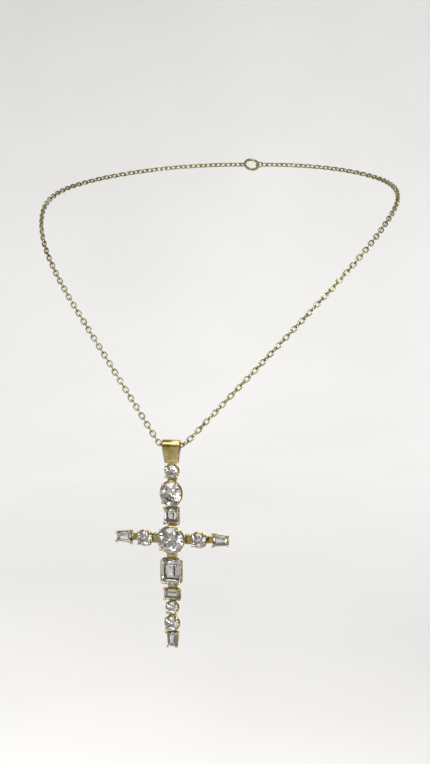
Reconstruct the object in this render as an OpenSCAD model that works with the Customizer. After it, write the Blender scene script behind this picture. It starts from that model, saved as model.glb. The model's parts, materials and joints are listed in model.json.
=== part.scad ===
// Cross pendant set with clear stones of mixed cuts, hanging from a fine cable
// chain. The bail is soldered to the cross, so bail and settings are one piece.
// Lengths are in millimetres. Z is up, the stones face -Y, and the origin is the
// middle of the clasp, at the nape.

/* [Stones] */
// Diameter of the centre round stone
centre_d = 7.6; // [6:0.1:9]
// Width of the square stone above the centre
square_w = 4.0; // [3:0.1:4.5]
// Height of the square stone above the centre
square_h = 4.4; // [3:0.1:5]
// Width of the oval stone
oval_w = 6.2; // [4.5:0.1:7]
// Height of the oval stone
oval_h = 7.0; // [5:0.1:8]
// Diameter of the small round stone under the bail
top_d = 4.0; // [3:0.1:4.5]
// Width of the emerald-cut stone
emerald_w = 6.0; // [4.5:0.1:7]
// Height of the emerald-cut stone
emerald_h = 7.2; // [5:0.1:8]
// Width of the baguette that lies across the lower bar
bar_w = 4.4; // [3:0.1:5]
// Height of the baguette that lies across the lower bar
bar_h = 3.0; // [2.4:0.1:3.5]
// Diameter of the smaller lower round stone
low_d = 3.6; // [2.8:0.1:4]
// Diameter of the larger lower round stone
lower_d = 4.2; // [3:0.1:5]
// Upper width of the tapered stone at the foot
tip_w = 3.2; // [2.4:0.1:3.5]
// Lower width of the tapered stone at the foot
tip_end = 2.4; // [1.8:0.1:2.8]
// Height of the tapered stone at the foot
tip_l = 4.0; // [3:0.1:5]
// Diameter of the round stone on each arm
arm_d = 4.4; // [3.4:0.1:5]
// Inner width of the tapered stone at each arm's end
arm_tip_w = 3.4; // [2.6:0.1:4]
// Outer width of the tapered stone at each arm's end
arm_tip_end = 2.4; // [1.9:0.1:3]
// Length of the tapered stone at each arm's end
arm_tip_l = 4.2; // [3.5:0.1:6]
// Gap between neighbouring stones on the upper bar
gap_upper = 0.7; // [0.6:0.1:1.8]
// Gap above and below the emerald-cut stone
gap_emerald = 1.7; // [1:0.1:3]
// Gap between neighbouring stones on the lower bar
gap_lower = 0.6; // [0.6:0.1:1.5]
// Gap between neighbouring stones on the arms
gap_arm = 1.8; // [1:0.1:2.5]

/* [Settings] */
// Diameter of the wire that the galleries are bent from
gallery_wire = 0.6; // [0.5:0.05:0.8]
// How far a gallery shows outside its stone
gallery_rim = 0.25; // [0.15:0.05:0.4]
// Diameter of a prong
prong_d = 0.62; // [0.5:0.02:0.8]
// Diameter of a prong's rounded head
head_d = 0.9; // [0.7:0.05:1.2]
// Clearance between a stone and the metal
seat_gap = 0.05; // [0.03:0.01:0.1]
// Height of the lowest point of a stone above the back
culet_h = 0.3; // [0.1:0.05:0.6]
// Width of the low bars that join the settings' bases
bar_t = 0.9; // [0.6:0.05:1.4]
// Greatest width of the bridges that join the settings under the stones
bridge_w = 2.8; // [1.2:0.1:3]
// Diameter of the solder seat under the bail
bail_seat_d = 1.6; // [1.2:0.1:2]

/* [Bail] */
// Width of the bail at its top
bail_w = 5.2; // [4.5:0.1:6.5]
// Width of the bail at its foot
bail_foot_w = 3.8; // [2.4:0.1:4.4]
// Thickness of the bail's strip
bail_t = 0.5; // [0.4:0.05:0.7]
// Radius inside the top of the bail, round the chain
bail_r = 1.4; // [1.35:0.05:1.8]
// Radius inside the foot of the bail
bail_foot_r = 0.4; // [0.3:0.05:0.6]
// Distance from the chain in the bail to the middle of the foot's bend
bail_drop = 3.9; // [3.2:0.1:5]
// Distance from the chain's line back to the cross's back
back_offset = 1.6; // [1:0.05:2.5]

/* [Chain] */
// Diameter of the chain's wire
wire_d = 0.4; // [0.3:0.02:0.44]
// Outer width of a link
link_w = 1.75; // [1.6:0.05:1.8]
// Spacing of the links along the chain
link_pitch = 1.7; // [1.65:0.05:2]
// Play between the wires of two neighbouring links
link_play = 0.1; // [0.1:0.01:0.14]
// Radius of the clasp's ring, to the middle of its wire
clasp_r = 2.3; // [2:0.1:3]
// Diameter of the clasp's wire
clasp_wire = 0.9; // [0.7:0.05:1]

/* [Hidden] */
$fn = 32;
gold = [0.80, 0.66, 0.36];
clear_stone = [0.86, 0.87, 0.90];
// The right half of the chain's route, from the bail round to the clasp
CHAIN_ROUTE = [
  [0, -118, -78], [3.2, -118, -78], [6, -115.8, -74.8], [24, -101.6, -54.3], [45, -85, -30.3],
  [54, -68, -17], [56, -48, -9], [48, -22, -4.5], [30, -5, -1.2], [12, 0, 0], [0, 0, 0]
];

// Cuts: angles of a brilliant, and its rings as shares of the half width
crown_angle = 34.5;
pavilion_angle = 40.75;
TABLE = 0.56;
STAR = 0.80;
LOWER = 0.25;
girdle = 0.12;
// Step cut rings from the lowest to the table: inset as a share of the half
// width, then height as a share of the pavilion's depth or the crown's height
STEPS = [[0.94, -1], [0.62, -0.78], [0.28, -0.42], [0, 0], [0, 0], [0.18, 0.62], [0.40, 1]];
INSET = 0;
RISE = 1;
STEP_PAVILION = 0.84;
STEP_CROWN = 0.30;
STEP_CORNER = 0.05;
EMERALD_CORNER = 0.16;

// Columns of a run's rows, from the centre stone outwards
NAME = 0;
CUT = 1;
ACROSS = 2;
ALONG = 3;
END = 4;
GAP = 5;
UP_RUN = [
  ["square", "step", square_w, square_h, square_w, gap_upper],
  ["oval", "brilliant", oval_w, oval_h, oval_w, gap_upper],
  ["top", "brilliant", top_d, top_d, top_d, gap_upper]
];
DOWN_RUN = [
  ["emerald", "emerald", emerald_w, emerald_h, emerald_w, gap_emerald],
  ["bar", "step", bar_w, bar_h, bar_w, gap_emerald],
  ["low", "brilliant", low_d, low_d, low_d, gap_lower],
  ["lower", "brilliant", lower_d, lower_d, lower_d, gap_lower],
  ["tip", "taper", tip_w, tip_l, tip_end, gap_lower]
];
ARM_RUN = [
  ["round", "brilliant", arm_d, arm_d, arm_d, gap_arm],
  ["tapered", "taper", arm_tip_w, arm_tip_l, arm_tip_end, gap_arm]
];
// Each run with the turn that points it outwards, and its stones' prefix
RUNS = [["", 0, UP_RUN], ["", 180, DOWN_RUN], ["left_", 90, ARM_RUN], ["right_", -90, ARM_RUN]];

// Distance from the cross's centre to the outer edge of a run's stone k
function out_to(run, k) = k < 0 ? centre_d / 2 : out_to(run, k - 1) + run[k][GAP] + run[k][ALONG];

// All stones with their turn and distance from the centre in two more columns
TURN = 5;
DIST = 6;
CENTRE = ["stone_centre", "brilliant", centre_d, centre_d, centre_d, 0, 0];
function placed(r, k) = k < 0 ? CENTRE : let(s = r[2][k])
  [str("stone_", r[0], s[NAME]), s[CUT], s[ACROSS], s[ALONG], s[END], r[1], out_to(r[2], k) - s[ALONG] / 2];
STONES = concat([CENTRE], [for (r = RUNS, k = [0 : len(r[2]) - 1]) placed(r, k)]);

// Half of a stone's smallest width
function half(s) = min(s[END], s[ALONG]) / 2;
function pavilion(s) = half(s) * (s[CUT] == "brilliant" ? tan(pavilion_angle) : STEP_PAVILION);
// Height of a stone's girdle above the cross's back
function girdle_h(s) = culet_h + pavilion(s) + girdle / 2;
// Height of the middle of the gallery under the girdle
gallery_drop = 0.8;
function gallery_h(s) = girdle_h(s) - gallery_drop;
// How far the bridges reach in over the galleries and stand off the back, and how
// far the prongs lean out
gallery_lap = 0.1;
bar_lift = 0.08;
prong_lean = 0.08;
rod_seam = 70;
// Heights of a prong's end and of its head's middle over the girdle
prong_rise = 0.1;
head_rise = 0.15;
// Length of the solder seat under the bail
seat_l = 1.2;
// How far the base gallery stands in from the outline, as a share of the half width
BASE_IN = 0.38;
function base_in(s) = BASE_IN * half(s);

function ellipse(a, b, sides) = [for (i = [0 : sides - 1]) let(t = 360 * i / sides) [a * cos(t), b * sin(t)]];
function cut_rect(a, b, c) = [[a, -b + c], [a, b - c], [a - c, b], [-a + c, b],
  [-a, b - c], [-a, -b + c], [-a + c, -b], [a - c, -b]];
// The width of a cut corner shrinks as the outline moves in by t, down to corner_min
corner_min = 0.02;
function corner_cut(s, t) = max(corner_min,
  (s[CUT] == "emerald" ? EMERALD_CORNER : STEP_CORNER) * s[ACROSS] - (2 - sqrt(2)) * t);
function taper_x(s, y, t) = let(m = (s[END] - s[ACROSS]) / 2 / s[ALONG])
  s[ACROSS] / 2 + m * (y + s[ALONG] / 2) - t * sqrt(1 + m * m);
function taper_outline(s, t) = let(y = s[ALONG] / 2 - t, w = taper_x(s, -y, t), e = taper_x(s, y, t))
  [[w, -y], [e, y], [-e, y], [-w, -y]];
// A stone's outline, moved in by t
function outline(s, t) = s[CUT] == "brilliant" ? ellipse(s[ACROSS] / 2 - t, s[ALONG] / 2 - t, $fn) :
  s[CUT] == "taper" ? taper_outline(s, t) :
  cut_rect(s[ACROSS] / 2 - t, s[ALONG] / 2 - t, corner_cut(s, t));
// The places of the four prongs, moved in by t
function corners(s, t) = s[CUT] == "brilliant" ?
    [for (q = [45 : 90 : 315]) [(s[ACROSS] / 2 - t) * cos(q), (s[ALONG] / 2 - t) * sin(q)]] :
  s[CUT] == "taper" ? taper_outline(s, t) :
  let(a = s[ACROSS] / 2 - t, b = s[ALONG] / 2 - t, c = corner_cut(s, t) / 2)
    [[a - c, b - c], [-a + c, b - c], [-a + c, -b + c], [a - c, -b + c]];

// Rings of a brilliant as [share of the half width, height], from below, with
// the girdle's middle at height 0
function brilliant_rings(s) =
  let(g = girdle / 2, c = half(s) * tan(crown_angle), p = half(s) * tan(pavilion_angle))
  [[0, -g - p], [LOWER, -g - p * (1 - LOWER * cos(half_facet))], [1, -g],
   [1, g], [STAR, g + c * (1 - STAR * cos(half_facet))], [TABLE, g + c * (1 - TABLE)]];
// Corners of the facets: the odd rings of a brilliant stand half a facet on
MAINS = 8;
half_facet = 180 / MAINS;
function facet_ring(s, share, z, turn, sides) = [for (i = [0 : sides - 1]) let(q = turn + 360 * i / sides)
  [s[ACROSS] / 2 * share * cos(q), s[ALONG] / 2 * share * sin(q), z]];
function brilliant_points(s) = let(r = brilliant_rings(s)) concat([[0, 0, r[0][1]]],
  facet_ring(s, LOWER, r[1][1], half_facet, MAINS), facet_ring(s, 1, r[2][1], 0, 2 * MAINS),
  facet_ring(s, 1, r[3][1], 0, 2 * MAINS), facet_ring(s, STAR, r[4][1], half_facet, MAINS),
  facet_ring(s, TABLE, r[5][1], 0, MAINS));
function step_rings(s, grow) = [for (k = [0 : len(STEPS) - 1])
  let(side = k < 3.5 ? -1 : 1, depth = half(s) * (side < 0 ? STEP_PAVILION : STEP_CROWN),
    z = side * (girdle / 2 + grow) + STEPS[k][RISE] * depth)
  [for (p = outline(s, STEPS[k][INSET] * half(s) - grow)) [p.x, p.y, z]]];
// The room that a brilliant takes in its setting, as rings
function brilliant_room(s, grow) = [for (k = [0 : 5]) let(r = brilliant_rings(s)[k], side = k < 2.5 ? -1 : 1)
  [for (p = ellipse(s[ACROSS] / 2 * r[0] + grow, s[ALONG] / 2 * r[0] + grow, $fn))
    [p.x, p.y, r[1] + side * grow]]];

// A closed solid through rings of equally many points, from the lowest ring up
module loft(rings) {
  n = len(rings[0]);
  polyhedron(points = [for (r = rings) each r], faces = concat(
    [[for (i = [0 : n - 1]) i]],
    [for (k = [0 : len(rings) - 2], i = [0 : n - 1]) let(j = (i + 1) % n)
      [k * n + i, (k + 1) * n + i, (k + 1) * n + j, k * n + j]],
    [[for (i = [n - 1 : -1 : 0]) (len(rings) - 1) * n + i]]));
}

module gem(s) {
  points = s[CUT] == "brilliant" ? brilliant_points(s) : [for (r = step_rings(s, 0)) each r];
  hull() polyhedron(points = points, faces = [[for (i = [0 : len(points) - 1]) i]]);
}

// The room for a stone: the stone grown by its clearance
module gem_room(s) {
  if (s[CUT] != "brilliant") loft(step_rings(s, seat_gap));
  else if (s[ACROSS] != s[ALONG]) loft(brilliant_room(s, seat_gap));
  else rotate_extrude() polygon(concat(
    [for (k = [0 : 5]) let(r = brilliant_rings(s)[k], side = k < 2.5 ? -1 : 1)
      [half(s) * r[0] + seat_gap, r[1] + side * seat_gap]],
    [[0, brilliant_rings(s)[5][1] + seat_gap], [0, brilliant_rings(s)[0][1] - seat_gap]]));
}

// A ring of wire round the stone's outline, its middle moved in by t
module gallery(s, t, h) {
  if (s[CUT] == "brilliant" && s[ACROSS] == s[ALONG])
    translate([0, 0, h]) rotate_extrude() translate([s[ACROSS] / 2 - t, 0]) circle(d = gallery_wire);
  else translate([0, 0, h - gallery_wire / 2]) linear_extrude(gallery_wire) difference() {
    polygon(outline(s, t - gallery_wire / 2));
    polygon(outline(s, t + gallery_wire / 2));
  }
}

// A round rod between two points, with its seam turned to one side
module rod(from, to, d) {
  v = to - from;
  translate(from) rotate([0, acos(v.z / norm(v)), atan2(v.y, v.x)])
    rotate([0, 0, rod_seam]) cylinder(d = d, h = norm(v));
}

// An open basket of two galleries and four prongs with round heads
module setting(s) {
  gallery(s, base_in(s), gallery_wire / 2);
  gallery(s, gallery_wire / 2 - gallery_rim, gallery_h(s));
  foot = corners(s, base_in(s));
  top = corners(s, -prong_lean);
  head = corners(s, 0);
  for (k = [0 : 3]) {
    rod([foot[k].x, foot[k].y, gallery_wire / 2], [top[k].x, top[k].y, girdle_h(s) + prong_rise], prong_d);
    translate([head[k].x, head[k].y, girdle_h(s) + head_rise]) sphere(d = head_d);
  }
}

// Puts a stone or its setting in its place on the cross, whose back is at z 0
module on_run(s) rotate([0, 0, s[TURN]]) translate([0, s[DIST], 0]) children();

// The room for a stone in its place on the cross
module room_at(s) on_run(s) translate([0, 0, girdle_h(s)]) gem_room(s);

// Width of a bridge, which ends between the prongs of the narrower of its stones
function bridge_across(inner, outer) = min(bridge_w, min(inner[ACROSS], outer[ACROSS]) - 2 * prong_d);

// A bar to the stone k of a run, low between the bases, high between the galleries
module bridge(r, k) {
  inner = placed(r, k - 1);
  outer = placed(r, k);
  edge = out_to(r[2], k - 1);
  gap = r[2][k][GAP];
  low_from = edge - base_in(inner);
  low_to = edge + gap + base_in(outer);
  high = min(gallery_h(inner), gallery_h(outer)) - bar_lift;
  wide = bridge_across(inner, outer);
  difference() {
    rotate([0, 0, r[1]]) {
      translate([-bar_t / 2, low_from, bar_lift]) cube([bar_t, low_to - low_from, gallery_wire - 2 * bar_lift]);
      translate([-wide / 2, edge - gallery_lap, bar_lift]) cube([wide, gap + 2 * gallery_lap, high]);
    }
    room_at(inner);
    room_at(outer);
  }
}

// The folded strip of the bail, with the chain's line along x through the origin
module bail() {
  lean = asin((bail_r - bail_foot_r) / bail_drop);
  side_l = bail_drop * cos(lean);
  top = bail_r + bail_t;
  foot = bail_drop + bail_foot_r + bail_t;
  intersection() {
    rotate([0, -90, 0]) {
      rotate([0, 0, -lean]) rotate_extrude(angle = 180 + 2 * lean)
        translate([bail_r, -bail_w / 2]) square([bail_t, bail_w]);
      translate([0, -bail_drop, 0]) rotate([0, 0, 180 + lean]) rotate_extrude(angle = 180 - 2 * lean)
        translate([bail_foot_r, -bail_w / 2]) square([bail_t, bail_w]);
      for (side = [0, 1]) mirror([side, 0, 0]) rotate([0, 0, -lean])
        translate([bail_r, -side_l, -bail_w / 2]) cube([bail_t, side_l, bail_w]);
    }
    translate([0, 0, -2 * top]) linear_extrude(4 * top)
      polygon([[-bail_w / 2, top], [-bail_foot_w / 2, -foot], [bail_foot_w / 2, -foot], [bail_w / 2, top]]);
  }
}

// Places on the cross: the outer edge of the top setting, and the bail over it
top_edge = out_to(UP_RUN, len(UP_RUN) - 1) + gallery_rim;
bail_h = top_edge + bail_t + bail_foot_r + bail_drop;
hinge = CHAIN_ROUTE[0];
module on_cross() translate([0, hinge.y + back_offset, hinge.z - bail_h]) rotate([90, 0, 0]) children();

module cross_frame() color(gold) on_cross() {
  for (s = STONES) difference() {
    on_run(s) setting(s);
    room_at(s);
  }
  for (r = RUNS, k = [0 : len(r[2]) - 1]) bridge(r, k);
  translate([0, bail_h, back_offset]) bail();
  difference() {
    translate([0, top_edge, back_offset - seat_l / 2]) cylinder(d = bail_seat_d, h = seat_l);
    room_at(placed(RUNS[0], len(UP_RUN) - 1));
  }
}

module stone(s) color(clear_stone) on_cross() on_run(s) translate([0, 0, girdle_h(s)]) gem(s);

// The whole route from the clasp round the left, through the bail and back
ROUNDING = 4;
function smooth(p, n) = n == 0 ? p : smooth(concat([p[0]],
  [for (i = [0 : len(p) - 2]) each [0.75 * p[i] + 0.25 * p[i + 1], 0.25 * p[i] + 0.75 * p[i + 1]]],
  [p[len(p) - 1]]), n - 1);
right_route = smooth(CHAIN_ROUTE, ROUNDING);
left_route = [for (i = [len(right_route) - 1 : -1 : 1]) let(p = right_route[i]) [-p.x, p.y, p.z]];
route = concat(left_route, right_route);
function running(p, i = 0, sum = 0) = i == len(p) ? [] :
  let(s = i == 0 ? 0 : sum + norm(p[i] - p[i - 1])) concat([s], running(p, i + 1, s));
dist = running(route);
route_l = dist[len(dist) - 1];
route_table = [for (k = [0 : 2]) [for (i = [0 : len(route) - 1]) [dist[i], route[i][k]]]];
function route_at(s) = [for (k = [0 : 2]) lookup(s, route_table[k])];

// A link's bend radius and length, both to the middle of its wire
link_r = (link_w - wire_d) / 2;
link_l = link_pitch + wire_d + link_play;
// The clasp's eye, and the round ring that closes the chain on the other side
eye_wire = 0.44;
eye_r = 0.72;
eye_sink = 0.1;
ring_r = 1.15;
eye_x = clasp_r + clasp_wire / 2 - eye_sink + eye_r;
ring_x = clasp_r - clasp_wire / 2 - link_play - wire_d / 2 + ring_r;
first_link = eye_x + eye_r - eye_wire / 2 - link_play - wire_d / 2 + link_l / 2;
last_link = ring_x + ring_r - wire_d - link_play + link_l / 2;
// An even number of links, so that the two at the clasp are turned unlike
links_l = route_l - first_link - last_link;
link_count = 2 * round((links_l / link_pitch + 1) / 2);
link_step = links_l / (link_count - 1);

module link() {
  leg = link_l - 2 * link_r;
  for (side = [-1, 1]) {
    rotate([0, 0, -90 * side]) translate([0, leg / 2, 0])
      rotate_extrude(angle = 180) translate([link_r, 0]) circle(d = wire_d);
    translate([-leg / 2, side * link_r, 0]) rotate([0, 90, 0]) cylinder(d = wire_d, h = leg);
  }
}

module wire_ring(r, d) rotate_extrude() translate([r, 0]) circle(d = d);

// Cable chain: each link is turned a quarter from the last, along the route
module chain() color(gold) {
  for (i = [0 : link_count - 1]) {
    s = first_link + i * link_step;
    from = route_at(s - link_step / 2);
    to = route_at(s + link_step / 2);
    v = to - from;
    translate((from + to) / 2) rotate([0, -asin(v.z / norm(v)), atan2(v.y, v.x)])
      rotate([i % 2 == 0 ? -45 : 45, 0, 0]) link();
  }
  translate([ring_x, 0, 0]) rotate([45, 0, 0]) wire_ring(ring_r, wire_d);
}

// A plain ring clasp with a small eye for the chain's first link
module clasp() color(gold) rotate([-45, 0, 0]) {
  wire_ring(clasp_r, clasp_wire);
  translate([-eye_x, 0, 0]) wire_ring(eye_r, eye_wire);
}

chain();
clasp();
cross_frame();
for (s = STONES) stone(s);
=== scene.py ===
"""Looks of a cross pendant on its fine cable chain: open baskets with claws, a folded
bail, clear cut stones, round wire links and a plain ring clasp. Lengths are in metres."""

import json
import math

import bpy
from mathutils import Matrix, Vector

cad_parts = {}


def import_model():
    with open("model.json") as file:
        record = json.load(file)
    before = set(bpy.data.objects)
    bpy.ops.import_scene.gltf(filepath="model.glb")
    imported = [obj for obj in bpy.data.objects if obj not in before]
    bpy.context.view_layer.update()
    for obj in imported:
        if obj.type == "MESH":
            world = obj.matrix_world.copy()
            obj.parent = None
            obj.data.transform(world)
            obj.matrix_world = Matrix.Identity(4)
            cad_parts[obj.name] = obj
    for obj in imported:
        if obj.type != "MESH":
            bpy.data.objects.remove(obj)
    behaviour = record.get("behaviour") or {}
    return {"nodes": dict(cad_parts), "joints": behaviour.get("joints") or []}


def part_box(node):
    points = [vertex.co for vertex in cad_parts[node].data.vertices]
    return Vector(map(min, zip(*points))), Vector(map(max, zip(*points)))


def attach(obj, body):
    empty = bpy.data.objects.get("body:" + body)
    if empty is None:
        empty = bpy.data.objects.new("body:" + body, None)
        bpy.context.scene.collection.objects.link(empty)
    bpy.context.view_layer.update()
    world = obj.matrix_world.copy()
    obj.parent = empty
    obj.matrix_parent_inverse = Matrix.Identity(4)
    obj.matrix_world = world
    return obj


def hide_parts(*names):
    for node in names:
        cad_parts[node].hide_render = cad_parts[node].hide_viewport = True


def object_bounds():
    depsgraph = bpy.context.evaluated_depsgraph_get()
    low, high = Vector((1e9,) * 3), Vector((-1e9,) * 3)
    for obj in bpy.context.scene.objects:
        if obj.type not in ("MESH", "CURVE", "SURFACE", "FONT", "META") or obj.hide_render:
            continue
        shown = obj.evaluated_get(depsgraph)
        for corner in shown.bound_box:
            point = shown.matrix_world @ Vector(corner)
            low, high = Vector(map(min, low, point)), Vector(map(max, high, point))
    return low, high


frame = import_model()
cad_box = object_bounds()

MM = 0.001

# The stones from the centre outwards: name, cut, turn about the cross's centre in degrees
STONES = (
    ("centre", "round", 0),
    ("square", "step", 0),
    ("oval", "round", 0),
    ("top", "round", 0),
    ("emerald", "step", 180),
    ("bar", "step", 180),
    ("low", "round", 180),
    ("lower", "round", 180),
    ("tip", "taper", 180),
    ("left_round", "round", 90),
    ("left_tapered", "taper", 90),
    ("right_round", "round", -90),
    ("right_tapered", "taper", -90),
)
# Outer width of a tapered stone as a share of its inner width
TAPER = {"tip": 2.4 / 3.2, "left_tapered": 2.4 / 3.4, "right_tapered": 2.4 / 3.4}
# Width of a step-cut stone's cut corner
CORNER = {"emerald": 0.96 * MM, "square": 0.20 * MM, "bar": 0.22 * MM}
CULET = 0.3 * MM
GIRDLE = 0.12 * MM
PAVILION_SHARE = 0.74

WIRE = 0.6 * MM
RIM = 0.25 * MM
GALLERY_DROP = 0.8 * MM
GALLERY_BEVEL = 0.32 * WIRE
# Edges sharper than this are softened
SHARP = math.radians(50)
BASE_IN = 0.38
CLAW_R = 0.31 * MM
# Rings of a claw: millimetres out from the girdle's corner and up from the girdle, share of the radius
CLAW_ROWS = (
    (0.04, -0.30, 1.0), (0.10, 0.05, 1.12), (0.06, 0.26, 1.30),
    (-0.04, 0.44, 1.22), (-0.14, 0.55, 0.85), (-0.19, 0.60, 0.35),
)
CLAW_SIDES = 12
SEAT_GAP = 0.02 * MM
BAR_W = 0.9 * MM
BRIDGE_W = 2.8 * MM
BAR_LIFT = 0.08 * MM
BRIDGE_SINK = 0.06 * MM
BAR_BEVEL = 0.12 * MM
BRIDGE_BEVEL = 0.2 * MM
LAP = 0.15 * MM

BAIL_R = 1.4 * MM
BAIL_FOOT_R = 0.4 * MM
BAIL_T = 0.5 * MM
BAIL_DROP = 3.9 * MM
BAIL_W = 5.2 * MM
BAIL_FOOT_W = 3.8 * MM
BAIL_SEAT_R = 0.8 * MM
BAIL_SEAT_L = 1.2 * MM
BAIL_BEVEL = 0.14 * MM
BAIL_SEAT_BEVEL = 0.12 * MM
BAIL_TOP_STEPS = 28
BAIL_FOOT_STEPS = 14

# The right half of the chain's route in millimetres, from the bail round to the clasp
CHAIN_ROUTE = (
    (0, -118, -78), (3.2, -118, -78), (6, -115.8, -74.8), (24, -101.6, -54.3), (45, -85, -30.3),
    (54, -68, -17), (56, -48, -9), (48, -22, -4.5), (30, -5, -1.2), (12, 0, 0), (0, 0, 0),
)
CORNER_CUTS = 4
CHAIN_WIRE = 0.4 * MM
LINK_W = 1.75 * MM
LINK_PITCH = 1.7 * MM
LINK_PLAY = 0.1 * MM
CLASP_R = 2.3 * MM
CLASP_WIRE = 0.9 * MM
EYE_R = 0.72 * MM
EYE_WIRE = 0.44 * MM
EYE_SINK = 0.1 * MM
RING_R = 1.15 * MM

HINGE = Vector(frame["joints"][0]["pos_m"])


# Modelling helpers

def only(*pieces):
    bpy.ops.object.select_all(action="DESELECT")
    for piece in pieces:
        piece.select_set(True)
    bpy.context.view_layer.objects.active = pieces[0]


def bare():
    """Nothing selected, so that a new primitive stands alone."""
    bpy.ops.object.select_all(action="DESELECT")


def edit(select_all=False):
    bpy.ops.object.mode_set(mode="EDIT")
    bpy.ops.mesh.select_all(action="SELECT" if select_all else "DESELECT")


def pick(piece, test):
    """Selects the points that pass the test, with the edges and faces between them, in edit mode."""
    edit()
    bpy.ops.object.mode_set(mode="OBJECT")
    mesh = piece.data
    for vertex in mesh.vertices:
        vertex.select = test(vertex.co)
    for part in list(mesh.edges) + list(mesh.polygons):
        part.select = all(mesh.vertices[v].select for v in part.vertices)
    bpy.ops.object.mode_set(mode="EDIT")


def modify(piece, kind, **settings):
    only(piece)
    modifier = piece.modifiers.new(kind.lower(), kind)
    for name, value in settings.items():
        setattr(modifier, name, value)
    bpy.ops.object.modifier_apply(modifier=modifier.name)


def outward(piece):
    only(piece)
    edit(select_all=True)
    bpy.ops.mesh.normals_make_consistent(inside=False)
    bpy.ops.object.mode_set(mode="OBJECT")


def place(piece, matrix):
    piece.matrix_world = matrix @ piece.matrix_world
    only(piece)
    bpy.ops.object.transform_apply(location=True, rotation=True, scale=True)


def copy_of(piece, matrix):
    twin = piece.copy()
    twin.data = piece.data.copy()
    bpy.context.scene.collection.objects.link(twin)
    place(twin, matrix)
    return twin


def joined(pieces, name):
    only(*pieces)
    if len(pieces) > 1:
        bpy.ops.object.join()
    piece = bpy.context.view_layer.objects.active
    bpy.ops.object.transform_apply(location=True, rotation=True, scale=True)
    piece.name = name
    piece.data.name = name
    return piece


def smooth(piece, degrees=35):
    only(piece)
    bpy.ops.object.shade_smooth_by_angle(angle=math.radians(degrees))


def ring(radius, wire, segments, sides):
    bare()
    bpy.ops.mesh.primitive_torus_add(
        major_radius=radius, minor_radius=wire / 2, major_segments=segments, minor_segments=sides
    )
    return bpy.context.object


def block(size, centre, bevel):
    """A bar with softened edges, given its size and its middle."""
    bare()
    bpy.ops.mesh.primitive_cube_add(size=1, location=centre)
    piece = bpy.context.object
    piece.scale = size
    bpy.ops.object.transform_apply(location=True, rotation=True, scale=True)
    modify(piece, "BEVEL", width=bevel, segments=3, limit_method="ANGLE")
    return piece


# The stones' places, read from the frame

class Stone:
    """A stone's sizes and its place on the cross, whose back is at height 0."""

    def __init__(self, name, cut, turn):
        low, high = (Vector(corner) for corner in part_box("stone_" + name))
        size = high - low
        self.name = name
        self.cut = cut
        self.turn = math.radians(turn)
        lies = abs(turn) == 90
        self.across = size.z if lies else size.x
        self.along = size.x if lies else size.z
        self.end = self.across * TAPER.get(name, 1)
        self.half = min(self.end, self.along) / 2
        self.girdle = CULET + GIRDLE / 2 + PAVILION_SHARE * (size.y - GIRDLE)
        self.gallery = self.girdle - GALLERY_DROP
        self.base_in = BASE_IN * self.half
        self.middle = Vector(((low.x + high.x) / 2, high.y + CULET, (low.z + high.z) / 2))

    def matrix(self):
        """Takes a piece from the stone's own plane, y outwards and z to the viewer, to its place."""
        face = Matrix.Rotation(math.radians(90), 4, "X")
        return Matrix.Translation(self.middle) @ face @ Matrix.Rotation(self.turn, 4, "Z")

    def corners(self):
        """The four places on the girdle where claws stand, with their headings."""
        a, b = self.across / 2, self.along / 2
        if self.cut == "round":
            quarters = [math.radians(45 + 90 * k) for k in range(4)]
            spots = [(a * math.cos(q), b * math.sin(q)) for q in quarters]
            return [(x, y, math.atan2(y, x)) for x, y in spots]
        cut = CORNER.get(self.name, 0) / 2
        e = self.end / 2
        spots = [(e - cut, b - cut), (-e + cut, b - cut), (-a + cut, -b + cut), (a - cut, -b + cut)]
        return [(x, y, math.atan2(math.copysign(1, y), math.copysign(1, x))) for x, y in spots]


stones = {name: Stone(name, cut, turn) for name, cut, turn in STONES}
BACK_Y = stones["centre"].middle.y
MIDDLE_Z = stones["centre"].middle.z


# The metal of the cross

def claw(stone):
    """One claw in the upright XZ plane, with the girdle's corner at x 0.

    It leans out from the lower gallery, then folds on to the crown in a rounded head.
    """
    diagonal = 1 if stone.cut == "round" else math.sqrt(2)
    foot = (-stone.base_in * diagonal, WIRE / 2, 1.0)
    rows = [foot] + [(out * MM, stone.girdle + up * MM, share) for out, up, share in CLAW_ROWS]
    tilts = []
    for k in range(len(rows)):
        back, ahead = rows[max(k - 1, 0)], rows[min(k + 1, len(rows) - 1)]
        tilts.append(math.atan2(ahead[0] - back[0], ahead[1] - back[1]))
    bare()
    bpy.ops.mesh.primitive_circle_add(
        vertices=CLAW_SIDES, radius=CLAW_R, fill_type="NGON", location=(rows[0][0], 0, rows[0][1]),
        rotation=(0, tilts[0], 0),
    )
    piece = bpy.context.object
    bpy.ops.object.transform_apply(location=True, rotation=True, scale=True)
    edit(select_all=True)
    for k in range(1, len(rows)):
        move = (rows[k][0] - rows[k - 1][0], 0, rows[k][1] - rows[k - 1][1])
        here = (rows[k][0], 0, rows[k][1])
        grow = rows[k][2] / rows[k - 1][2]
        bpy.ops.mesh.extrude_region_move(TRANSFORM_OT_translate={"value": move})
        bpy.ops.transform.rotate(value=tilts[k - 1] - tilts[k], orient_axis="Y", center_override=here)
        bpy.ops.transform.resize(value=(grow, grow, grow), center_override=here)
    bpy.ops.object.mode_set(mode="OBJECT")
    outward(piece)
    return piece


def round_gallery(stone, inset, height):
    radius = stone.across / 2 - inset
    piece = ring(radius, WIRE, 40, 10)
    edit(select_all=True)
    bpy.ops.transform.resize(value=(1, (stone.along / 2 - inset) / radius, 1), center_override=(0, 0, 0))
    bpy.ops.object.mode_set(mode="OBJECT")
    piece.location.z = height
    bpy.ops.object.transform_apply(location=True, rotation=True, scale=True)
    return piece


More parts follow.
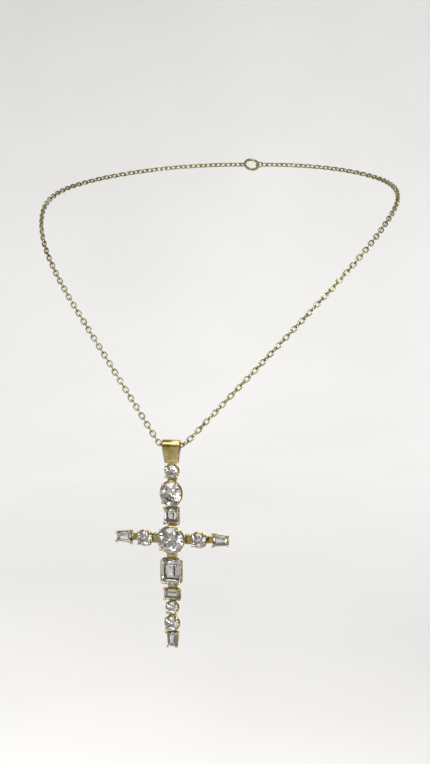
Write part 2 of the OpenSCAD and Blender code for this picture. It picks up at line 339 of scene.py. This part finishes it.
def straight_gallery(stone, inset, height):
    """A frame of wire along straight sides, from a plate that is inset, opened and thickened."""
    grown = WIRE / 2 - inset
    a = stone.across / 2 + grown
    b = stone.along / 2 + grown
    bare()
    bpy.ops.mesh.primitive_plane_add(size=2, location=(0, 0, height - WIRE / 2))
    piece = bpy.context.object
    piece.scale = (a, b, 1)
    bpy.ops.object.transform_apply(location=True, rotation=True, scale=True)
    if stone.end < stone.across:
        pick(piece, lambda v: v.y > 0)
        narrow = (stone.end / 2 + grown) / a
        bpy.ops.transform.resize(value=(narrow, 1, 1), center_override=(0, b, height))
    edit(select_all=True)
    corner = CORNER.get(stone.name, 0)
    if corner > WIRE:
        bpy.ops.mesh.bevel(offset=corner, affect="VERTICES")
        bpy.ops.mesh.select_all(action="SELECT")
    bpy.ops.mesh.inset(thickness=WIRE)
    bpy.ops.mesh.delete(type="FACE")
    bpy.ops.mesh.select_all(action="SELECT")
    bpy.ops.mesh.extrude_region_move(TRANSFORM_OT_translate={"value": (0, 0, WIRE)})
    bpy.ops.object.mode_set(mode="OBJECT")
    outward(piece)
    modify(piece, "BEVEL", width=GALLERY_BEVEL, segments=3, limit_method="ANGLE", angle_limit=SHARP)
    return piece


def stone_cutter(stone):
    """A copy of the stone, a hair larger, that cuts the claws' notches."""
    mesh = frame["nodes"]["stone_" + stone.name].data.copy()
    piece = bpy.data.objects.new("cutter", mesh)
    bpy.context.scene.collection.objects.link(piece)
    only(piece)
    edit(select_all=True)
    bpy.ops.mesh.remove_doubles(threshold=0.001 * MM)
    bpy.ops.mesh.normals_make_consistent(inside=False)
    bpy.ops.transform.shrink_fatten(value=SEAT_GAP)
    bpy.ops.object.mode_set(mode="OBJECT")
    return piece


def basket(stone):
    """Two galleries and four claws, notched where the stone sits."""
    gallery = round_gallery if stone.cut == "round" else straight_gallery
    model = claw(stone)
    stand = [
        Matrix.Translation((x, y, 0)) @ Matrix.Rotation(heading, 4, "Z") for x, y, heading in stone.corners()
    ]
    claws = [copy_of(model, stone.matrix() @ spot) for spot in stand]
    bpy.data.objects.remove(model)
    claws = joined(claws, "claws")
    cutter = stone_cutter(stone)
    modify(claws, "BOOLEAN", operation="DIFFERENCE", object=cutter, solver="EXACT")
    bpy.data.objects.remove(cutter)
    wires = [gallery(stone, stone.base_in, WIRE / 2), gallery(stone, WIRE / 2 - RIM, stone.gallery)]
    for wire in wires:
        place(wire, stone.matrix())
    piece = joined([claws] + wires, "basket_" + stone.name)
    smooth(piece)
    return piece


RUNS = (
    ("centre", "square", "oval", "top"),
    ("centre", "emerald", "bar", "low", "lower", "tip"),
    ("centre", "left_round", "left_tapered"),
    ("centre", "right_round", "right_tapered"),
)


def bridges():
    """The low and high bars that join each basket to the next."""
    bars = []
    for run in RUNS:
        for inner, outer in ((stones[a], stones[b]) for a, b in zip(run, run[1:])):
            reach = inner.half if inner.name == "centre" else inner.along / 2
            start = (inner.middle - stones["centre"].middle).length + reach
            stop = (outer.middle - stones["centre"].middle).length - outer.along / 2
            low_size = (BAR_W, stop - start + inner.base_in + outer.base_in, WIRE - 2 * BAR_LIFT)
            low_middle = (0, (start + stop + outer.base_in - inner.base_in) / 2, WIRE / 2)
            rise = min(inner.gallery, outer.gallery) - BAR_LIFT
            wide = min(BRIDGE_W, min(inner.across, outer.across) - 4 * CLAW_R)
            high_size = (wide, stop - start + 2 * LAP, rise - BRIDGE_SINK)
            # The bar stands just proud of the bridge at the back, so no two faces share a plane
            high_middle = (0, (start + stop) / 2, BAR_LIFT + (rise + BRIDGE_SINK) / 2)
            turn = Matrix.Rotation(outer.turn, 4, "Z")
            face = Matrix.Rotation(math.radians(90), 4, "X")
            matrix = Matrix.Translation((0, BACK_Y, MIDDLE_Z)) @ face @ turn
            low = block(low_size, low_middle, BAR_BEVEL)
            high = block(high_size, high_middle, BRIDGE_BEVEL)
            for bar in (low, high):
                place(bar, matrix)
                bars.append(bar)
    piece = joined(bars, "bridges")
    smooth(piece)
    return piece


def bail():
    """A strip folded round the chain: front side, bend over the top, back side and foot's bend."""
    over = BAIL_R + BAIL_T / 2
    under = BAIL_FOOT_R + BAIL_T / 2
    lean = math.asin((over - under) / BAIL_DROP)
    side = BAIL_DROP * math.cos(lean)
    bare()
    bpy.ops.mesh.primitive_plane_add(size=1)
    piece = bpy.context.object
    # The plate stands at the front, its upper edge where the bend over the chain begins
    piece.matrix_world = (
        Matrix.Rotation(lean, 4, "X")
        @ Matrix.Translation((0, -over, -side / 2))
        @ Matrix.Rotation(math.radians(90), 4, "X")
        @ Matrix.Diagonal((BAIL_W, side, 1, 1))
    )
    bpy.ops.object.transform_apply(location=True, rotation=True, scale=True)
    bend_z = max(v.co.z for v in piece.data.vertices)
    pick(piece, lambda v: v.z > bend_z - 0.01 * MM)
    bpy.ops.mesh.spin(steps=BAIL_TOP_STEPS, angle=math.pi + 2 * lean, center=(0, 0, 0), axis=(1, 0, 0))
    down = (0, -side * math.sin(lean), -side * math.cos(lean))
    bpy.ops.mesh.extrude_region_move(TRANSFORM_OT_translate={"value": down})
    bpy.ops.mesh.spin(
        steps=BAIL_FOOT_STEPS, angle=math.pi - 2 * lean, center=(0, 0, -BAIL_DROP), axis=(1, 0, 0)
    )
    bpy.ops.mesh.select_all(action="SELECT")
    bpy.ops.mesh.remove_doubles(threshold=0.02 * MM)
    bpy.ops.mesh.subdivide(number_cuts=1)
    bpy.ops.mesh.normals_make_consistent(inside=False)
    bpy.ops.object.mode_set(mode="OBJECT")
    high = over + BAIL_T / 2
    low = -(BAIL_DROP + under + BAIL_T / 2)
    for vertex in piece.data.vertices:
        share = (vertex.co.z - low) / (high - low)
        vertex.co.x *= (BAIL_FOOT_W + (BAIL_W - BAIL_FOOT_W) * share) / BAIL_W
    modify(piece, "SOLIDIFY", thickness=BAIL_T, offset=0)
    modify(piece, "BEVEL", width=BAIL_BEVEL, segments=3, limit_method="ANGLE", angle_limit=SHARP)
    place(piece, Matrix.Translation(HINGE))
    bare()
    bpy.ops.mesh.primitive_cylinder_add(
        vertices=24, radius=BAIL_SEAT_R, depth=BAIL_SEAT_L,
        location=(0, HINGE.y, HINGE.z + low), rotation=(math.radians(90), 0, 0),
    )
    seat = bpy.context.object
    bpy.ops.object.transform_apply(location=True, rotation=True, scale=True)
    modify(seat, "BEVEL", width=BAIL_SEAT_BEVEL, segments=2, limit_method="ANGLE")
    piece = joined([piece, seat], "bail")
    smooth(piece)
    return piece


# The chain

def rounded(points, times):
    """The points with each corner cut at a quarter of its sides, as many times as asked."""
    for _ in range(times):
        cut = [points[0]]
        for a, b in zip(points, points[1:]):
            cut += [a.lerp(b, 0.25), a.lerp(b, 0.75)]
        points = cut + [points[-1]]
    return points


class Route:
    """The whole way from the clasp round the left, through the bail and back."""

    def __init__(self, half):
        right = rounded([Vector(p) * MM for p in half], CORNER_CUTS)
        left = [Vector((-p.x, p.y, p.z)) for p in reversed(right[1:])]
        self.points = left + right
        self.at = [0.0]
        for a, b in zip(self.points, self.points[1:]):
            self.at.append(self.at[-1] + (b - a).length)
        self.length = self.at[-1]

    def point(self, s):
        k = 0
        while k < len(self.at) - 2 and self.at[k + 1] < s:
            k += 1
        return self.points[k].lerp(self.points[k + 1], (s - self.at[k]) / (self.at[k + 1] - self.at[k]))


def link():
    """One stadium-shaped link of round wire, lying along x in the XY plane."""
    bend = (LINK_W - CHAIN_WIRE) / 2
    length = LINK_PITCH + CHAIN_WIRE + LINK_PLAY
    leg = length - 2 * bend
    piece = ring(bend, CHAIN_WIRE, 16, 7)
    for side in (1, -1):
        pick(piece, lambda v: side * v.x > 0.01 * MM)
        bpy.ops.transform.translate(value=(side * leg / 2, 0, 0))
        bpy.ops.object.mode_set(mode="OBJECT")
    return piece, length


def aimed(ahead):
    """Turns x to the direction given, level about it."""
    pitch = math.asin(max(-1, min(1, ahead.z)))
    heading = math.atan2(ahead.y, ahead.x)
    return Matrix.Rotation(heading, 4, "Z") @ Matrix.Rotation(-pitch, 4, "Y")


def chain():
    """Links a quarter turn from each other along the route, and the ring that closes it."""
    route = Route(CHAIN_ROUTE)
    model, length = link()
    wire = CHAIN_WIRE
    eye_x = CLASP_R + CLASP_WIRE / 2 - EYE_SINK + EYE_R
    ring_x = CLASP_R - CLASP_WIRE / 2 - LINK_PLAY - wire / 2 + RING_R
    first = eye_x + EYE_R - EYE_WIRE / 2 - LINK_PLAY - wire / 2 + length / 2
    last = ring_x + RING_R - wire - LINK_PLAY + length / 2
    span = route.length - first - last
    count = 2 * round((span / LINK_PITCH + 1) / 2)
    step = span / (count - 1)
    links = []
    for k in range(count):
        s = first + k * step
        start, stop = route.point(s - step / 2), route.point(s + step / 2)
        quarter = Matrix.Rotation(math.radians(-45 if k % 2 == 0 else 45), 4, "X")
        twin = model.copy()
        twin.data = model.data.copy()
        ahead = aimed((stop - start).normalized())
        twin.data.transform(Matrix.Translation((start + stop) / 2) @ ahead @ quarter)
        bpy.context.scene.collection.objects.link(twin)
        links.append(twin)
    bpy.data.objects.remove(model)
    end = ring(RING_R, wire, 28, 8)
    place(end, Matrix.Translation((ring_x, 0, 0)) @ Matrix.Rotation(math.radians(45), 4, "X"))
    piece = joined(links + [end], "chain_links")
    only(piece)
    bpy.ops.object.shade_smooth()
    return piece


def clasp():
    """A plain ring with the eye that holds the first link."""
    turned = Matrix.Rotation(math.radians(-45), 4, "X")
    body = ring(CLASP_R, CLASP_WIRE, 48, 16)
    place(body, turned)
    eye = ring(EYE_R, EYE_WIRE, 28, 10)
    eye_x = CLASP_R + CLASP_WIRE / 2 - EYE_SINK + EYE_R
    place(eye, turned @ Matrix.Translation((-eye_x, 0, 0)))
    piece = joined([body, eye], "clasp_ring")
    only(piece)
    bpy.ops.object.shade_smooth()
    return piece


# Materials

STONE_IOR = 2.15


def blank(name):
    material = bpy.data.materials.new(name)
    material.use_nodes = True
    nodes = material.node_tree.nodes
    return material, nodes, material.node_tree.links, nodes["Principled BSDF"]


def spots(nodes, links, scale, detail):
    """Noise over the piece's own coordinates."""
    where = nodes.new("ShaderNodeTexCoord")
    noise = nodes.new("ShaderNodeTexNoise")
    noise.inputs["Scale"].default_value = scale
    noise.inputs["Detail"].default_value = detail
    links.new(where.outputs["Object"], noise.inputs["Vector"])
    return noise


def ramp(nodes, links, source, stops):
    blend = nodes.new("ShaderNodeValToRGB")
    for element, (at, colour) in zip(blend.color_ramp.elements, stops):
        element.position = at
        element.color = (*colour, 1)
    links.new(source, blend.inputs["Fac"])
    return blend.outputs["Color"]


def spread(nodes, links, source, low, high):
    scale = nodes.new("ShaderNodeMapRange")
    scale.inputs["To Min"].default_value = low
    scale.inputs["To Max"].default_value = high
    links.new(source, scale.inputs["Value"])
    return scale.outputs["Result"]


def gold(name, rich, pale, smoothest, roughest, relief):
    """Polished plating: broad tone changes, finer haze and faint polishing marks."""
    material, nodes, links, shader = blank(name)
    broad = spots(nodes, links, 450, 3)
    fine = spots(nodes, links, 3200, 4)
    tone = ramp(nodes, links, broad.outputs["Fac"], ((0.35, rich), (0.7, pale)))
    links.new(tone, shader.inputs["Base Color"])
    links.new(spread(nodes, links, fine.outputs["Fac"], smoothest, roughest), shader.inputs["Roughness"])
    bump = nodes.new("ShaderNodeBump")
    bump.inputs["Strength"].default_value = relief
    bump.inputs["Distance"].default_value = 0.02 * MM
    links.new(fine.outputs["Fac"], bump.inputs["Height"])
    links.new(bump.outputs["Normal"], shader.inputs["Normal"])
    shader.inputs["Metallic"].default_value = 1.0
    return material


def clear(name, tint, shade):
    """A clear stone of high refraction with a trace of haze."""
    material, nodes, links, shader = blank(name)
    haze = spots(nodes, links, 700, 2)
    tone = ramp(nodes, links, haze.outputs["Fac"], ((0.3, tint), (0.75, shade)))
    links.new(tone, shader.inputs["Base Color"])
    shader.inputs["Roughness"].default_value = 0.0
    shader.inputs["IOR"].default_value = STONE_IOR
    shader.inputs["Transmission Weight"].default_value = 1.0
    return material


def dress(piece, material):
    piece.data.materials.clear()
    piece.data.materials.append(material)


# The pieces in their places

frame_gold = gold("polished_gold", (0.37, 0.29, 0.10), (0.70, 0.59, 0.29), 0.08, 0.24, 0.12)
# The chain and clasp are the frame's gold painted darker: painted shade on the thin links
chain_gold_painted_shade = gold("chain_gold_painted_shade", (0.22, 0.19, 0.08), (0.42, 0.37, 0.19), 0.14, 0.30, 0.1)
stone_clear = clear("clear_stone", (0.68, 0.64, 0.59), (0.86, 0.83, 0.78))

metal = [bail(), bridges()] + [basket(stone) for stone in stones.values()]
for piece in metal:
    dress(piece, frame_gold)
    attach(piece, "pendant")
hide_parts("cross_frame")

for piece, node in ((chain(), "chain"), (clasp(), "clasp")):
    dress(piece, chain_gold_painted_shade)
    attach(piece, "chain")
    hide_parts(node)

for name in stones:
    node = frame["nodes"]["stone_" + name]
    dress(node, stone_clear)


# Floor, backdrop, light and camera

FLOOR_Z = -0.26
WALL_Y = 1.5
FLOOR_FRONT = -9.0
SWEEP_HALF = 9.0
SWEEP_BEND = 0.6
WALL_HIGH = 3.0
# The camera looks down by the elevation, from the azimuth to the right of the front
CAMERA_AZIMUTH = 12
CAMERA_ELEVATION = 7
CAMERA_DISTANCE = 0.56
CAMERA_LENS = 85
# How bright the room is below and above
ROOM_BELOW = 0.22
ROOM_ABOVE = 0.24
ROOM_COLOUR = (0.85, 0.81, 0.80)
# The ceiling's light: its strength, its width and its tilt to the front in degrees
CEILING_LIGHT = 1.25
CEILING_WIDTH = 50
CEILING_TILT = 20
KEY_COLOUR = (1.0, 0.97, 0.91)
# Where the lamps aim: the middle of the cross
PENDANT = (0, -0.118, -0.105)


def backdrop():
    """A pale sweep: floor, bend and wall in one sheet."""
    bare()
    bpy.ops.mesh.primitive_plane_add(size=1)
    sheet = bpy.context.object
    sheet.name = "backdrop"
    sheet.matrix_world = Matrix.Translation((0, (FLOOR_FRONT + WALL_Y) / 2, FLOOR_Z)) @ Matrix.Diagonal(
        (2 * SWEEP_HALF, WALL_Y - FLOOR_FRONT, 1, 1)
    )
    bpy.ops.object.transform_apply(location=True, rotation=True, scale=True)
    pick(sheet, lambda v: v.y > WALL_Y - 0.01)
    bpy.ops.mesh.extrude_region_move(TRANSFORM_OT_translate={"value": (0, 0, WALL_HIGH)})
    pick(sheet, lambda v: v.y > WALL_Y - 0.01 and v.z < FLOOR_Z + 0.01)
    bpy.ops.mesh.bevel(offset=SWEEP_BEND, segments=16)
    bpy.ops.object.mode_set(mode="OBJECT")
    only(sheet)
    bpy.ops.object.shade_smooth()
    material, nodes, links, shader = blank("pale_paper")
    grain = spots(nodes, links, 6, 2)
    tones = ((0.3, (0.83, 0.83, 0.82)), (0.7, (0.87, 0.87, 0.86)))
    links.new(ramp(nodes, links, grain.outputs["Fac"], tones), shader.inputs["Base Color"])
    shader.inputs["Roughness"].default_value = 1.0
    shader.inputs["Specular IOR Level"].default_value = 0.0
    dress(sheet, material)


def lamp(name, place_at, aim, size, watts, beam, colour=(1, 1, 1)):
    """A soft square lamp: its side, its power and the angle of its beam in degrees."""
    data = bpy.data.lights.new(name, "AREA")
    data.energy = watts
    data.size = size
    data.color = colour
    data.spread = math.radians(beam)
    light = bpy.data.objects.new(name, data)
    bpy.context.scene.collection.objects.link(light)
    light.location = place_at
    light.rotation_euler = (Vector(aim) - Vector(place_at)).to_track_quat("-Z", "Y").to_euler()


def ceiling():
    """Wide, even light from above and a little in front."""
    data = bpy.data.lights.new("ceiling", "SUN")
    data.energy = CEILING_LIGHT
    data.angle = math.radians(CEILING_WIDTH)
    light = bpy.data.objects.new("ceiling", data)
    bpy.context.scene.collection.objects.link(light)
    light.rotation_euler = (math.radians(CEILING_TILT), 0, 0)


def camera():
    data = bpy.data.cameras.new("camera")
    data.lens = CAMERA_LENS
    data.clip_start = 0.01
    eye = bpy.data.objects.new("camera", data)
    bpy.context.scene.collection.objects.link(eye)
    low, high = (Vector(corner) for corner in cad_box)
    middle = (low + high) / 2
    az, el = math.radians(CAMERA_AZIMUTH), math.radians(CAMERA_ELEVATION)
    back = Vector((math.sin(az) * math.cos(el), -math.cos(az) * math.cos(el), math.sin(el)))
    eye.location = middle + CAMERA_DISTANCE * back
    eye.rotation_euler = (-back).to_track_quat("-Z", "Y").to_euler()
    bpy.context.scene.camera = eye


def world():
    """A dim room, a little paler above than below."""
    surroundings = bpy.data.worlds.new("studio")
    surroundings.use_nodes = True
    nodes, links = surroundings.node_tree.nodes, surroundings.node_tree.links
    where = nodes.new("ShaderNodeTexCoord")
    split = nodes.new("ShaderNodeSeparateXYZ")
    links.new(where.outputs["Generated"], split.inputs["Vector"])
    level = nodes.new("ShaderNodeMapRange")
    level.inputs["From Min"].default_value = -0.5
    level.inputs["From Max"].default_value = 0.8
    level.inputs["To Min"].default_value = ROOM_BELOW
    level.inputs["To Max"].default_value = ROOM_ABOVE
    links.new(split.outputs["Z"], level.inputs["Value"])
    links.new(level.outputs["Result"], nodes["Background"].inputs["Strength"])
    nodes["Background"].inputs["Color"].default_value = (*ROOM_COLOUR, 1)
    bpy.context.scene.world = surroundings
    bpy.context.scene.view_settings.view_transform = "Standard"


backdrop()
world()
lamp("key", (0.45, -0.55, 0.45), PENDANT, 0.14, 0.26, 36, KEY_COLOUR)
lamp("fill", (-0.7, -0.5, 0.0), PENDANT, 0.25, 0.05, 36)
lamp("panel", (-0.2, -0.55, 0.5), PENDANT, 0.5, 0.08, 44)
lamp("low_panel", (0.3, -0.75, -0.2), PENDANT, 0.22, 0.03, 36)
lamp("spark", (0.1, -0.8, 0.2), PENDANT, 0.05, 0.03, 36)
lamp("wall", (0.0, 0.7, 2.0), (0, 1.45, 0.0), 1.0, 7, 110)
ceiling()
camera()
